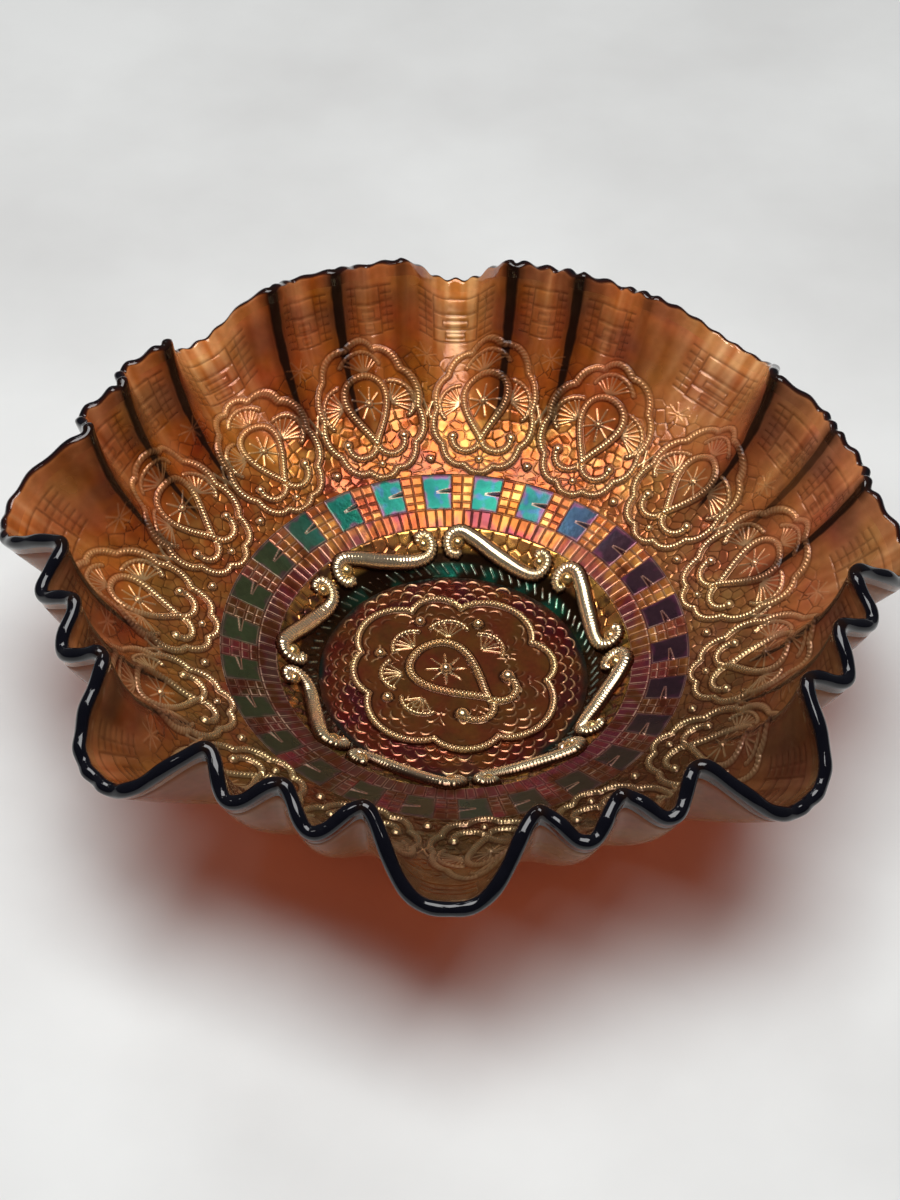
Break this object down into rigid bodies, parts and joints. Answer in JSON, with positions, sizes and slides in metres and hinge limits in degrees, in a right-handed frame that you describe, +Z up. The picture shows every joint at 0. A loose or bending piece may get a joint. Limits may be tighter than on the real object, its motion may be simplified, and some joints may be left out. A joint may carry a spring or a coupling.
{
  "type": "carnival glass bowl",
  "caption": "Pressed iridescent glass bowl with a collar base, raised scrolls, brick band, medallion wall and a ruffled, scalloped edge.",
  "frame": {"origin": "centre of the collar's flat underside, on the bowl's axis and on the surface it stands on", "axes": "+Z up along the bowl's axis; -Y towards the broad lobe at the front, +X to its right"},
  "size_m": [0.2494, 0.2433, 0.0776],
  "materials": {
    "dark_glass": "polished dark amethyst glass with a faint green and purple film",
    "gold_lustre": "glossy relief with a gold metallic film",
    "rainbow_lustre": "glossy film that runs from orange through purple to teal",
    "amber_lustre": "glossy amber film, slightly milky towards the edge",
    "edge_glass": "fire-polished near-black glass"
  },
  "bodies": {
    "root": {"collar_base": "dark_glass", "bowl_floor": "dark_glass", "center_medallion": "gold_lustre", "scroll_ring": "dark_glass", "scrolls": "gold_lustre", "brick_band": "rainbow_lustre", "bowl_wall": "amber_lustre", "crimped_rim": "edge_glass"}
  },
  "joints": []
}
